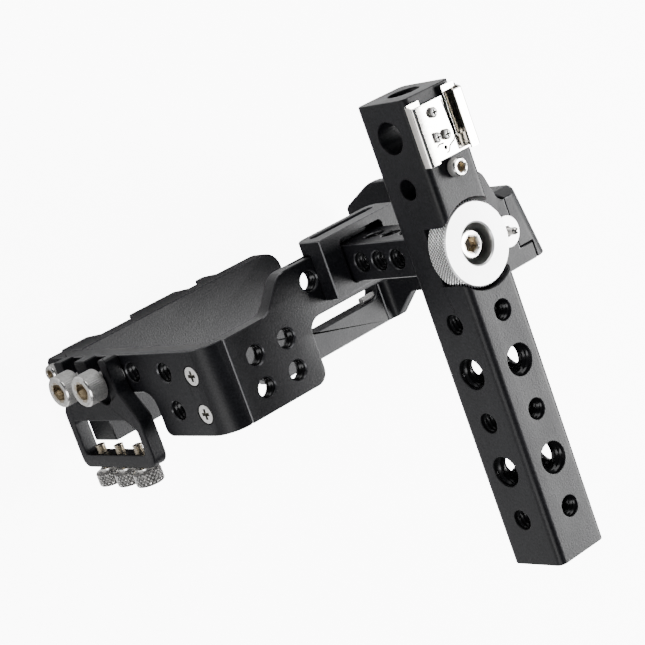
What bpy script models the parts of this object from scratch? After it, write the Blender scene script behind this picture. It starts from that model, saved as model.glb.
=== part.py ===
"""A camera cage with a top handle: plates screwed round a camera bay, a riser clamped on the
top plate, a swivelling handle bar with a cold shoe, and a cable clamp on the left side.

Frame: +Z up in use, +Y towards the lens, +X towards the camera grip. The origin lies on the
plane of the feet, under the handle's centre line. Lengths are in metres."""

import math

import bmesh
import bpy
from mathutils import Matrix, Vector

MM = 0.001
GAP = 0.3 * MM  # between pieces that rest on each other
SCREW_CLEARANCE = 0.35 * MM  # between a screw's shank and its hole, in radius

# Heights of the main planes.
PLATE_TOP = 81.2 * MM
PLATE_THICKNESS = 5.0 * MM
BRACKET_TOP = 87.4 * MM
HANDLE_BOTTOM = 115.5 * MM
HANDLE_HEIGHT = 20.0 * MM
BASE_TOP = 11.7 * MM
BASE_BOTTOM = 5.2 * MM

# The handle bar and the wheel that clamps it.
HANDLE_LEFT = -9.8 * MM
HANDLE_RIGHT = 8.8 * MM
HANDLE_REAR = -75.6 * MM
HANDLE_FRONT = 63.6 * MM
HANDLE_CORNER = 2.2 * MM
HOLE_PITCH = 15.0 * MM
FIRST_HOLE = 10.0 * MM  # from the front end to the first side hole
FIRST_GRIP_HOLE = 65.0 * MM  # from the front end to the first hole behind the wheel
GRIP_HOLES = 5
END_HOLE_DEPTH = 14.0 * MM
WHEEL_Y = 18.4 * MM
WHEEL_RADIUS = 12.2 * MM
WHEEL_TOP = 134.5 * MM
WHEEL_BOTTOM = 127.4 * MM
WHEEL_RECESS_RADIUS = 5.85 * MM
WHEEL_RECESS_FLOOR = 126.7 * MM
POCKET_RADIUS = 12.9 * MM
POCKET_FLOOR = 126.2 * MM
HUB_RADIUS = 8.0 * MM
HUB_BOTTOM = 123.9 * MM
HUB_BORE_RADIUS = 8.8 * MM
HUB_BORE_FLOOR = 122.6 * MM
BOLT_RADIUS = 2.5 * MM
BOLT_END = 102.0 * MM

# The cold shoe on the handle's front end.
SHOE_CENTRE = -0.9 * MM
SHOE_HALF_WIDTH = 9.9 * MM
SHOE_REAR = 44.15 * MM
SHOE_FRONT = 60.25 * MM
SHOE_SHEET = 0.6 * MM
SHOE_SLOT = 2.2 * MM
SHOE_MOUTH_HALF = 6.25 * MM
SHOE_SCREWS = ((-2.1 * MM, 57.2 * MM), (-3.6 * MM, 50.5 * MM), (0.0, 50.2 * MM))
STOP_SCREW = (-0.4 * MM, 40.75 * MM)

# Hole radii: the standard camera threads, and the plain holes through the handle's sides.
QUARTER_INCH = 3.05 * MM
THREE_EIGHTHS = 4.6 * MM
LARGE_SIDE_HOLE = 4.7 * MM
SMALL_SIDE_HOLE = 3.05 * MM

# Screws, as shank radius; M3 unless the name says otherwise.
M3 = 1.5 * MM
M2 = 1.0 * MM
M6 = 3.0 * MM

# The riser arm and the bracket that carries it along the top plate.
ARM_HALF_WIDTH = 7.5 * MM
ARM_REAR = 12.75 * MM
ARM_FRONT = 24.05 * MM
ARM_FOOT = 83.7 * MM
ARM_HOLES = (92.7 * MM, 100.4 * MM, 108.3 * MM)
BRACKET_HALF_WIDTH = 15.7 * MM
BRACKET_REAR = 10.45 * MM
BRACKET_FRONT = 28.65 * MM
BRACKET_POCKET_FLOOR = 83.4 * MM
LIP_BOTTOM = 75.8 * MM
RAIL_FRONT = 24.25 * MM
RAIL_GROOVE = (77.0 * MM, 78.4 * MM)
RISER_SCREW_X = 3.75 * MM
BRACKET_TRAVEL = 5.5 * MM

# The cage's outer faces and seams.
LEFT_OUTER = -62.6 * MM
LEFT_INNER = -56.6 * MM
TOP_SEAM_LEFT = -54.2 * MM
RIGHT_INNER = 62.4 * MM
RIGHT_WALL_OUTER = 65.8 * MM
RIGHT_PAD_OUTER = 72.4 * MM  # half way along the pad, whose outer face runs in towards the lens
PAD_TAPER = 0.17
PAD_BOTTOM = 58.0 * MM
RIGHT_LEDGE = 54.0 * MM
RIGHT_LEDGE_BOTTOM = 72.5 * MM
FOOT_SEAM = 59.0 * MM
CAGE_FRONT = 15.25 * MM
BASE_REAR = -15.25 * MM
BAR_REAR = -24.85 * MM
BAR_FRONT = -16.05 * MM
LOCK_CENTRE = (58.2 * MM, 2.35 * MM)
CAMERA_SCREW = (-19.5 * MM, -5.75 * MM)
LEFT_TOP_SCREWS = ((7.65 * MM, 72.5 * MM), (-4.05 * MM, 72.5 * MM))
LEFT_BASE_SCREWS = ((11.25 * MM, 5.0 * MM), (5.4 * MM, 5.0 * MM))
RIGHT_TOP_SCREWS = ((57.6 * MM, 8.6 * MM), (57.6 * MM, -5.2 * MM))
RIGHT_BASE_SCREWS = ((-15.2 * MM, 8.45 * MM), (-21.2 * MM, 8.45 * MM))

# The cable clamp on the left face.
CLAMP_OUTER = -67.9 * MM
CLAMP_INNER = -62.9 * MM
CLAMP_SCREW_Y = 8.75 * MM
CLAMP_SCREW_Z = (33.2 * MM, 20.5 * MM)
CLAMP_SLOT_END = 5.1 * MM  # centre of each slot's round end
THUMBSCREW_Z = (36.8 * MM, 26.9 * MM, 17.0 * MM)

ROUND = 32  # sides of a large hole or head
SMALL_ROUND = 20  # sides of a small one


def clear_scene():
    for old in list(bpy.data.objects):
        bpy.data.objects.remove(old, do_unlink=True)


def material(name, colour, roughness, metallic):
    made = bpy.data.materials.new(name)
    made.use_nodes = True
    shader = made.node_tree.nodes["Principled BSDF"]
    shader.inputs["Base Color"].default_value = (*colour, 1.0)
    shader.inputs["Roughness"].default_value = roughness
    shader.inputs["Metallic"].default_value = metallic
    return made


BLACK = (0.035, 0.036, 0.042)
STEEL = (0.72, 0.71, 0.69)
NICKEL = (0.80, 0.78, 0.74)
WHEEL_SILVER = (0.85, 0.85, 0.85)


def finished(name, mesh, colour, roughness=0.45, metallic=0.6):
    """Puts a bmesh in the scene as one named object with its own material."""
    bmesh.ops.remove_doubles(mesh, verts=mesh.verts, dist=1e-7)
    bmesh.ops.recalc_face_normals(mesh, faces=mesh.faces)
    data = bpy.data.meshes.new(name)
    mesh.to_mesh(data)
    mesh.free()
    data.materials.append(material(name, colour, roughness, metallic))
    data.shade_smooth()
    data.set_sharp_from_angle(angle=math.radians(35))
    piece = bpy.data.objects.new(name, data)
    bpy.context.scene.collection.objects.link(piece)
    return piece


def placed(axis, first, second, along):
    """A point from its two coordinates across an axis and the one along it."""
    if axis == "X":
        return Vector((along, first, second))
    if axis == "Y":
        return Vector((first, along, second))
    return Vector((first, second, along))


def rounded(corners):
    """A closed outline: each corner is (u, v) or (u, v, radius), and a radius becomes an arc."""
    points = []
    for index, corner in enumerate(corners):
        here = Vector(corner[:2])
        if len(corner) == 2:
            points.append(here)
            continue
        to_last = (Vector(corners[index - 1][:2]) - here).normalized()
        to_next = (Vector(corners[(index + 1) % len(corners)][:2]) - here).normalized()
        half = to_last.angle(to_next) / 2
        reach = corner[2] / math.tan(half)
        centre = here + (to_last + to_next).normalized() * (corner[2] / math.sin(half))
        start = here + to_last * reach - centre
        turn = start.angle_signed(here + to_next * reach - centre)
        steps = max(2, round(abs(turn) / math.radians(15)))
        for step in range(steps + 1):
            points.append(centre + Matrix.Rotation(-turn * step / steps, 2) @ start)
    return points


def add_prism(mesh, corners, axis, low, high):
    """A straight bar: an outline across an axis, drawn out from low to high along it."""
    ring = [mesh.verts.new(placed(axis, *point, low)) for point in rounded(corners)]
    face = mesh.faces.new(ring)
    drawn = bmesh.ops.extrude_face_region(mesh, geom=[face])
    ends = [item for item in drawn["geom"] if isinstance(item, bmesh.types.BMVert)]
    bmesh.ops.translate(mesh, verts=ends, vec=placed(axis, 0, 0, high - low))


def add_turned(mesh, axis, centre, profile, sides, ring=False):
    """A turned solid: (radius, position along the axis) pairs, from one end to the other.
    A ring's last pair joins its first, which leaves its middle open."""
    rings = []
    for radius, along in profile:
        angles = [2 * math.pi * (side + 0.5) / sides for side in range(sides)]
        rings.append(
            [
                mesh.verts.new(
                    placed(
                        axis,
                        centre[0] + radius * math.cos(angle),
                        centre[1] + radius * math.sin(angle),
                        along,
                    )
                )
                for angle in angles
            ]
        )
    following = rings[1:] + rings[:1] if ring else rings[1:]
    for low, high in zip(rings, following):
        for side in range(sides):
            after = (side + 1) % sides
            mesh.faces.new((low[side], low[after], high[after], high[side]))
    if not ring:
        mesh.faces.new(rings[0])
        mesh.faces.new(rings[-1])


def add_rod(mesh, axis, centre, radius, low, high, sides=SMALL_ROUND):
    add_turned(mesh, axis, centre, ((radius, low), (radius, high)), sides)


def box_corners(low_u, high_u, low_v, high_v, radius=0.0):
    corners = ((low_u, low_v), (high_u, low_v), (high_u, high_v), (low_u, high_v))
    return [(*corner, radius) for corner in corners] if radius else list(corners)


def prism(name, corners, axis, low, high, colour=BLACK, **look):
    mesh = bmesh.new()
    add_prism(mesh, corners, axis, low, high)
    return finished(name, mesh, colour, **look)


def turned(name, axis, centre, profile, colour=STEEL, sides=ROUND, ring=False, **look):
    mesh = bmesh.new()
    add_turned(mesh, axis, centre, profile, sides, ring)
    look = {"roughness": 0.25, "metallic": 1.0, **look}
    return finished(name, mesh, colour, **look)


def combine(piece, mesh, step, operation="DIFFERENCE"):
    """Cuts a bmesh's solids from a piece, joins them to it or keeps what they share."""
    tool = finished(f"{piece.name}_{step}", mesh, BLACK)
    tool.hide_render = True
    tool.display_type = "WIRE"
    modifier = piece.modifiers.new(step, "BOOLEAN")
    modifier.object = tool
    modifier.operation = operation
    modifier.solver = "EXACT"


def hex_corners(centre, across_flats):
    radius = across_flats / math.sqrt(3)
    angles = [math.radians(60 * side) for side in range(6)]
    return [(centre[0] + radius * math.cos(a), centre[1] + radius * math.sin(a)) for a in angles]


def cap_screw(name, axis, centre, under_head, head, shank, socket, toward, colour=STEEL):
    """A socket head screw. Its head rises from under_head along toward, which is +1 or -1,
    and its shank runs the other way. head is (radius, height) and shank (radius, length)."""
    head_end = under_head + toward * head[1]
    shank_end = under_head - toward * shank[1]
    edge = 0.3 * MM
    profile = (
        (shank[0] - edge, shank_end),
        (shank[0], shank_end + toward * edge),
        (shank[0], under_head),
        (head[0], under_head),
        (head[0], head_end - toward * edge),
        (head[0] - edge, head_end),
    )
    screw = turned(name, axis, centre, profile, colour, SMALL_ROUND)
    key = bmesh.new()
    floor = head_end - toward * head[1] * 0.55
    beyond = head_end + toward * MM
    add_prism(key, hex_corners(centre, socket), axis, min(floor, beyond), max(floor, beyond))
    combine(screw, key, "socket")
    return screw


def flush_screw(name, axis, centre, face, head_radius, shank, toward):
    """A countersunk cross head screw whose head ends just under the face, facing toward."""
    top = face - toward * 0.15 * MM
    cone = top - toward * (head_radius - shank[0])
    profile = (
        (shank[0], top - toward * shank[1]),
        (shank[0], cone),
        (head_radius, top - toward * 0.2 * MM),
        (head_radius, top),
    )
    screw = turned(name, axis, centre, profile, STEEL, SMALL_ROUND)
    cross = bmesh.new()
    half = 0.3 * MM
    reach = head_radius * 0.45
    floor = top - toward * head_radius * 0.4
    beyond = top + toward * MM
    arms = [(-reach, -half), (-half, -half), (-half, -reach), (half, -reach), (half, -half)]
    arms += [(reach, -half), (reach, half), (half, half), (half, reach), (-half, reach)]
    arms += [(-half, half), (-reach, half)]
    corners = [(centre[0] + u, centre[1] + v) for u, v in arms]
    add_prism(cross, corners, axis, min(floor, beyond), max(floor, beyond))
    combine(screw, cross, "cross")
    return screw


def countersink(mesh, axis, centre, face, head_radius, shank_radius, length, toward):
    """The hole for a flush screw."""
    outer = head_radius + 0.25 * MM
    inner = shank_radius + SCREW_CLEARANCE
    profile = (
        (inner, face - toward * length),
        (inner, face - toward * (outer - inner + 0.35 * MM)),
        (outer, face - toward * 0.35 * MM),
        (outer, face + toward * MM),
    )
    add_turned(mesh, axis, centre, profile, SMALL_ROUND)


def handle_bar():
    top = HANDLE_BOTTOM + HANDLE_HEIGHT
    middle = HANDLE_BOTTOM + HANDLE_HEIGHT / 2
    left, right = HANDLE_LEFT - MM, HANDLE_RIGHT + MM
    outline = box_corners(HANDLE_LEFT, HANDLE_RIGHT, HANDLE_BOTTOM, top, HANDLE_CORNER)
    bar = prism("handle_bar", outline, "Y", HANDLE_REAR, HANDLE_FRONT)
    sides = bmesh.new()
    threads = bmesh.new()
    for station, radius in ((0, LARGE_SIDE_HOLE), (1, SMALL_SIDE_HOLE)):
        place = HANDLE_FRONT - FIRST_HOLE - station * HOLE_PITCH
        add_rod(sides, "X", (place, middle), radius, left, right)
    for station in range(GRIP_HOLES):
        place = HANDLE_FRONT - FIRST_GRIP_HOLE - station * HOLE_PITCH
        large = station % 2 == 1
        across = LARGE_SIDE_HOLE if large else SMALL_SIDE_HOLE
        down = THREE_EIGHTHS if large else QUARTER_INCH
        add_rod(sides, "X", (place, middle), across, left, right)
        add_rod(threads, "Z", (0, place), down, HANDLE_BOTTOM - MM, top + MM)
    combine(bar, sides, "side_holes")
    combine(bar, threads, "threaded_holes")
    wheel = bmesh.new()
    profile = (
        (BOLT_RADIUS + SCREW_CLEARANCE, HANDLE_BOTTOM - MM),
        (BOLT_RADIUS + SCREW_CLEARANCE, HUB_BORE_FLOOR),
        (HUB_BORE_RADIUS, HUB_BORE_FLOOR),
        (HUB_BORE_RADIUS, POCKET_FLOOR),
        (POCKET_RADIUS, POCKET_FLOOR),
        (POCKET_RADIUS, top + MM),
    )
    add_turned(wheel, "Z", (0, WHEEL_Y), profile, ROUND)
    combine(bar, wheel, "wheel_pocket")
    ends = bmesh.new()
    add_rod(ends, "Y", (0, middle), THREE_EIGHTHS, HANDLE_FRONT - END_HOLE_DEPTH, HANDLE_FRONT + MM)
    combine(bar, ends, "end_hole")
    screws = bmesh.new()
    for spot in SHOE_SCREWS:
        add_rod(screws, "Z", spot, M2 + SCREW_CLEARANCE, top - 5 * MM, top + MM, 12)
    add_rod(screws, "Z", STOP_SCREW, M3 + SCREW_CLEARANCE, top - 6.8 * MM, top + MM, 12)
    combine(bar, screws, "screw_holes")


def cold_shoe():
    floor = HANDLE_BOTTOM + HANDLE_HEIGHT + GAP
    deck = floor + SHOE_SHEET
    ceiling = deck + SHOE_SLOT
    top = ceiling + SHOE_SHEET
    wall = SHOE_HALF_WIDTH - SHOE_SHEET
    right = [(SHOE_HALF_WIDTH, floor), (SHOE_HALF_WIDTH, top), (SHOE_MOUTH_HALF, top)]
    right += [(SHOE_MOUTH_HALF, ceiling), (wall, ceiling), (wall, deck)]
    left = [(-u, v) for u, v in reversed(right)]
    outline = [(SHOE_CENTRE + u, v) for u, v in right + left]
    shoe = prism("cold_shoe", outline, "Y", SHOE_REAR, SHOE_FRONT, NICKEL, roughness=0.2, metallic=1.0)
    holes = bmesh.new()
    for spot in SHOE_SCREWS:
        add_rod(holes, "Z", spot, M2 + SCREW_CLEARANCE, floor - MM, deck + 0.5 * MM, 12)
    combine(shoe, holes, "screw_holes")
    spring = (3.4 * MM, SHOE_CENTRE + wall - GAP, deck + GAP, deck + 2 * GAP)
    prism(
        "shoe_leaf_spring",
        box_corners(*spring),
        "Y",
        SHOE_REAR + 4.5 * MM,
        SHOE_FRONT + 2.5 * MM,
        NICKEL,
        roughness=0.2,
        metallic=1.0,
    )
    for number, spot in enumerate(SHOE_SCREWS, 1):
        under_head = deck + GAP
        profile = (
            (M2, under_head - 5.2 * MM),
            (M2, under_head),
            (1.5 * MM, under_head),
            (1.5 * MM, under_head + 0.5 * MM),
            (0.9 * MM, under_head + 0.8 * MM),
        )
        turned(f"shoe_screw_{number}", "Z", spot, profile, STEEL, 16)
    cap_screw(
        "shoe_stop_screw",
        "Z",
        STOP_SCREW,
        floor,
        (2.75 * MM, 3 * MM),
        (M3, 6.6 * MM),
        2.5 * MM,
        1,
    )


def wheel_and_bolt():
    centre = (0, WHEEL_Y)
    bore = BOLT_RADIUS + SCREW_CLEARANCE
    profile = (
        (WHEEL_RADIUS, WHEEL_BOTTOM),
        (WHEEL_RADIUS, WHEEL_TOP),
        (WHEEL_RECESS_RADIUS, WHEEL_TOP),
        (WHEEL_RECESS_RADIUS, WHEEL_RECESS_FLOOR),
        (bore, WHEEL_RECESS_FLOOR),
        (bore, HUB_BOTTOM),
        (HUB_RADIUS, HUB_BOTTOM),
        (HUB_RADIUS, WHEEL_BOTTOM),
    )
    turned("thumb_wheel", "Z", centre, profile, WHEEL_SILVER, 48, ring=True, roughness=0.35)
    washer_low = HUB_BORE_FLOOR + GAP
    washer_high = HUB_BOTTOM - GAP
    profile = ((HUB_RADIUS, washer_low), (HUB_RADIUS, washer_high), (bore, washer_high), (bore, washer_low))
    turned("wheel_washer", "Z", centre, profile, ring=True)
    under_head = WHEEL_RECESS_FLOOR + GAP
    head = (4.25 * MM, 4.9 * MM)
    cap_screw("wheel_bolt", "Z", centre, under_head, head, (BOLT_RADIUS, under_head - BOLT_END), 4 * MM, 1)


def riser_arm():
    outline = box_corners(-ARM_HALF_WIDTH, ARM_HALF_WIDTH, ARM_REAR, ARM_FRONT)
    arm = prism("riser_arm", outline, "Z", ARM_FOOT, HANDLE_BOTTOM - GAP)
    across = bmesh.new()
    along = bmesh.new()
    for height in ARM_HOLES:
        add_rod(across, "X", (WHEEL_Y, height), QUARTER_INCH, -ARM_HALF_WIDTH - MM, ARM_HALF_WIDTH + MM)
        add_rod(along, "Y", (0, height), QUARTER_INCH, ARM_REAR - MM, ARM_FRONT + MM)
    combine(arm, across, "side_holes")
    combine(arm, along, "front_holes")
    bores = bmesh.new()
    add_rod(bores, "Z", (0, WHEEL_Y), BOLT_RADIUS + SCREW_CLEARANCE, BOLT_END - MM, HANDLE_BOTTOM)
    for side in (-1, 1):
        spot = (side * RISER_SCREW_X, WHEEL_Y)
        add_rod(bores, "Z", spot, M3 + SCREW_CLEARANCE, ARM_FOOT - MM, ARM_FOOT + 5.9 * MM)
    combine(arm, bores, "bolt_holes")


def rail_bracket():
    low, high = RAIL_GROOVE
    inner = RAIL_FRONT + GAP
    rib = RAIL_FRONT - 1.2 * MM
    underside = PLATE_TOP + GAP
    outline = [(BRACKET_REAR, underside), (inner, underside), (inner, high - GAP), (rib, high - GAP)]
    outline += [(rib, low + GAP), (inner, low + GAP), (inner, LIP_BOTTOM), (BRACKET_FRONT, LIP_BOTTOM)]
    outline += [(BRACKET_FRONT, BRACKET_TOP), (BRACKET_REAR, BRACKET_TOP)]
    bracket = prism("rail_bracket", outline, "X", -BRACKET_HALF_WIDTH, BRACKET_HALF_WIDTH)
    front = bmesh.new()
    corner = 3.5 * MM
    half = BRACKET_HALF_WIDTH
    ends = [(-half, LIP_BOTTOM, corner), (half, LIP_BOTTOM, corner), (half, BRACKET_TOP), (-half, BRACKET_TOP)]
    add_prism(front, ends, "Y", 0, 2 * BRACKET_FRONT)
    combine(bracket, front, "rounded_lip", "INTERSECT")
    pockets = bmesh.new()
    half = ARM_HALF_WIDTH + 3 * GAP
    seat = box_corners(-half, half, ARM_REAR - GAP, ARM_FRONT + 2.1 * MM, 1.6 * MM)
    add_prism(pockets, seat, "Z", BRACKET_POCKET_FLOOR, BRACKET_TOP + MM)
    slot = box_corners(-12.5 * MM, 12.5 * MM, 78.8 * MM, 81.8 * MM, 1.49 * MM)
    add_prism(pockets, slot, "Y", BRACKET_FRONT - 1.3 * MM, BRACKET_FRONT + MM)
    combine(bracket, pockets, "pockets")
    holes = bmesh.new()
    for side in (-1, 1):
        spot = (side * RISER_SCREW_X, WHEEL_Y)
        add_rod(holes, "Z", spot, M3 + SCREW_CLEARANCE, PLATE_TOP, BRACKET_POCKET_FLOOR + MM)
    combine(bracket, holes, "screw_holes")


def riser_screws():
    underside = PLATE_TOP - PLATE_THICKNESS
    for number, side in enumerate((-1, 1), 1):
        cap_screw(
            f"riser_screw_{number}",
            "Z",
            (side * RISER_SCREW_X, WHEEL_Y),
            underside + 2.8 * MM,
            (2.75 * MM, 2.4 * MM),
            (M3, 10.2 * MM),
            2.5 * MM,
            -1,
            BLACK,
        )


def top_plate():
    underside = PLATE_TOP - PLATE_THICKNESS
    left = TOP_SEAM_LEFT + GAP / 2
    right = RIGHT_INNER - GAP / 2
    outline = [(left, -10.85 * MM), (-23.9 * MM, -10.85 * MM, 4 * MM), (-23.9 * MM, 7.65 * MM, 4.5 * MM)]
    outline += [(38 * MM, 7.65 * MM, 4.5 * MM), (38 * MM, -9.95 * MM, 4 * MM), (68 * MM, -9.95 * MM)]
    outline += [(68 * MM, -4.65 * MM), (right, -4.65 * MM), (right, 11.7 * MM), (60.2 * MM, 11.7 * MM, 3 * MM)]
    outline += [(56.8 * MM, RAIL_FRONT, 5 * MM), (-28.8 * MM, RAIL_FRONT, 6 * MM)]
    outline += [(-36.8 * MM, 14.9 * MM, 6 * MM), (left, 14.9 * MM)]
    plate = prism("top_plate", outline, "Z", underside, PLATE_TOP)
    corner = bmesh.new()
    wall = LEFT_INNER + GAP
    inside = [(wall, 67 * MM), (-52 * MM, 67 * MM), (-52 * MM, underside + MM), (left, underside + MM)]
    inside += [(left, underside - GAP), (wall, underside - GAP)]
    add_prism(corner, inside, "Y", -10.5 * MM, 13.6 * MM)
    combine(plate, corner, "corner_block", "UNION")
    holes = bmesh.new()
    for x in (-45.4, -33.3):
        for y in (6.45, -3.55):
            add_rod(holes, "Z", (x * MM, y * MM), QUARTER_INCH, underside - MM, PLATE_TOP + MM)
    add_rod(holes, "Z", (-18.9 * MM, 18.05 * MM), QUARTER_INCH, underside - MM, PLATE_TOP + MM)
    combine(plate, holes, "threaded_holes")
    for step, radius, top in (
        ("shank_slot", M3 + SCREW_CLEARANCE, PLATE_TOP + MM),
        ("head_slot", 3.1 * MM, underside + 3.1 * MM),
    ):
        slot = bmesh.new()
        reach = RISER_SCREW_X + BRACKET_TRAVEL + radius
        sides = box_corners(-reach, reach, WHEEL_Y - radius, WHEEL_Y + radius, radius * 0.99)
        add_prism(slot, sides, "Z", underside - MM, top)
        combine(plate, slot, step)
    groove = bmesh.new()
    add_prism(groove, box_corners(-21.5 * MM, 21.5 * MM, *RAIL_GROOVE), "Y", RAIL_FRONT - 1.6 * MM, RAIL_FRONT + MM)
    combine(plate, groove, "rail_groove")
    side_screws = bmesh.new()
    for spot in LEFT_TOP_SCREWS:
        add_rod(side_screws, "X", spot, M3 + SCREW_CLEARANCE, wall - MM, -51 * MM, 12)
    combine(plate, side_screws, "side_screw_holes")
    ledge_screws = bmesh.new()
    for spot in RIGHT_TOP_SCREWS:
        add_rod(ledge_screws, "Z", spot, M2 + SCREW_CLEARANCE, underside - MM, underside + 4.2 * MM, 12)
    combine(plate, ledge_screws, "ledge_screw_holes")
    lock = bmesh.new()
    add_rod(lock, "Z", LOCK_CENTRE, 2.2 * MM, underside + 0.8 * MM, PLATE_TOP + MM)
    combine(plate, lock, "lock_bore")


def left_side_plate():
    underside = PLATE_TOP - PLATE_THICKNESS
    seam = TOP_SEAM_LEFT - GAP / 2
    profile = [(LEFT_OUTER, 0), (LEFT_INNER, 0), (LEFT_INNER, underside), (seam, underside)]
    profile += [(seam, PLATE_TOP), (LEFT_OUTER, PLATE_TOP, 8 * MM)]
    plate = prism("left_side_plate", profile, "Y", -20 * MM, 20 * MM)
    side = bmesh.new()
    outline = [(3.15 * MM, 0, 1.5 * MM), (CAGE_FRONT, 0, 2.5 * MM), (CAGE_FRONT, PLATE_TOP + MM)]
    outline += [(-10.85 * MM, PLATE_TOP + MM), (-10.85 * MM, 50.3 * MM, 2.5 * MM), (3.15 * MM, 50.3 * MM, 4.5 * MM)]
    add_prism(side, outline, "X", LEFT_OUTER - MM, seam + MM)
    combine(plate, side, "side_outline", "INTERSECT")
    holes = bmesh.new()
    for spot in ((9.15, 60.1), (-2.75, 60.1), (9.55, 44.2)):
        add_rod(holes, "X", (spot[0] * MM, spot[1] * MM), QUARTER_INCH, LEFT_OUTER - MM, LEFT_INNER + MM)
    for height in CLAMP_SCREW_Z:
        spot = (CLAMP_SCREW_Y, height)
        add_rod(holes, "X", spot, M6 + SCREW_CLEARANCE, LEFT_OUTER - MM, LEFT_INNER + MM)
    for spot in LEFT_BASE_SCREWS:
        add_rod(holes, "X", spot, M3 + SCREW_CLEARANCE, LEFT_OUTER - MM, LEFT_INNER + MM, 12)
    for spot in LEFT_TOP_SCREWS:
        countersink(holes, "X", spot, LEFT_OUTER, 3 * MM, M3, 8 * MM, -1)
    combine(plate, holes, "holes")
    for number, spot in enumerate(LEFT_TOP_SCREWS, 1):
        flush_screw(f"left_top_screw_{number}", "X", spot, LEFT_OUTER, 3 * MM, (M3, 10 * MM), -1)
    for number, spot in enumerate(LEFT_BASE_SCREWS, 1):
        under_head = LEFT_OUTER - GAP
        head = (2.75 * MM, 3 * MM)
        cap_screw(f"left_base_screw_{number}", "X", spot, under_head, head, (M3, 14 * MM), 2.5 * MM, -1)


def right_side_plate():
    underside = PLATE_TOP - PLATE_THICKNESS
    foot = FOOT_SEAM + GAP / 2
    seam = RIGHT_INNER + GAP / 2
    shelf = underside - GAP
    wall = RIGHT_WALL_OUTER
    profile = [(foot, BASE_BOTTOM), (wall, BASE_BOTTOM), (wall, PAD_BOTTOM), (RIGHT_PAD_OUTER, PAD_BOTTOM, 1.5 * MM)]
    profile += [(RIGHT_PAD_OUTER, PLATE_TOP, 5.5 * MM), (seam, PLATE_TOP), (seam, shelf), (RIGHT_LEDGE, shelf)]
    profile += [(RIGHT_LEDGE, RIGHT_LEDGE_BOTTOM)]
    profile += [(RIGHT_INNER, RIGHT_LEDGE_BOTTOM, 2 * MM), (RIGHT_INNER, BASE_TOP, 2.5 * MM), (foot, BASE_TOP)]
    plate = prism("right_side_plate", profile, "Y", -30 * MM, 24 * MM)
    for vertex in plate.data.vertices:
        if vertex.co.x > wall + 0.1 * MM:
            vertex.co.x -= PAD_TAPER * vertex.co.y
    side = bmesh.new()
    outline = [(BAR_REAR, 4 * MM), (13 * MM, 4 * MM), (15.4 * MM, 6.3 * MM, 2 * MM)]
    outline += [(22.5 * MM, 20.5 * MM, 12 * MM), (22.5 * MM, 40 * MM, 9 * MM), (14.2 * MM, 54 * MM, 9 * MM)]
    outline += [(13.9 * MM, 76.5 * MM, 2 * MM), (11.9 * MM, PLATE_TOP, 1.5 * MM), (11 * MM, PLATE_TOP + MM)]
    outline += [(-9.95 * MM, PLATE_TOP + MM), (-9.95 * MM, 70 * MM, 7 * MM), (-16.3 * MM, 60 * MM, 7 * MM)]
    outline += [(-16.3 * MM, 23.5 * MM, 5 * MM), (BAR_REAR, 13 * MM, 3 * MM)]
    add_prism(side, outline, "X", RIGHT_LEDGE - MM, RIGHT_PAD_OUTER + 9 * MM)
    combine(plate, side, "side_outline", "INTERSECT")
    notch = bmesh.new()
    corner = box_corners(seam - MM, 68.3 * MM, -12 * MM, -4.35 * MM)
    add_prism(notch, corner, "Z", shelf, PLATE_TOP + MM)
    combine(plate, notch, "corner_notch")
    grip = bmesh.new()
    open_front = box_corners(foot - MM, RIGHT_INNER, -11.5 * MM, CAGE_FRONT + 9 * MM)
    add_prism(grip, open_front, "Z", BASE_BOTTOM - MM, BASE_TOP + 3 * MM)
    combine(plate, grip, "open_front")
    holes = bmesh.new()
    for spot in RIGHT_TOP_SCREWS:
        countersink(holes, "Z", spot, RIGHT_LEDGE_BOTTOM, 1.9 * MM, M2, 5 * MM, -1)
    for spot in RIGHT_BASE_SCREWS:
        countersink(holes, "X", spot, wall, 2.6 * MM, M3, 9 * MM, 1)
    combine(plate, holes, "screw_holes")
    for number, spot in enumerate(RIGHT_TOP_SCREWS, 1):
        flush_screw(f"right_top_screw_{number}", "Z", spot, RIGHT_LEDGE_BOTTOM, 1.9 * MM, (M2, 7.4 * MM), -1)
    for number, spot in enumerate(RIGHT_BASE_SCREWS, 1):
        flush_screw(f"right_base_screw_{number}", "X", spot, wall, 2.6 * MM, (M3, 13 * MM), 1)


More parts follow.
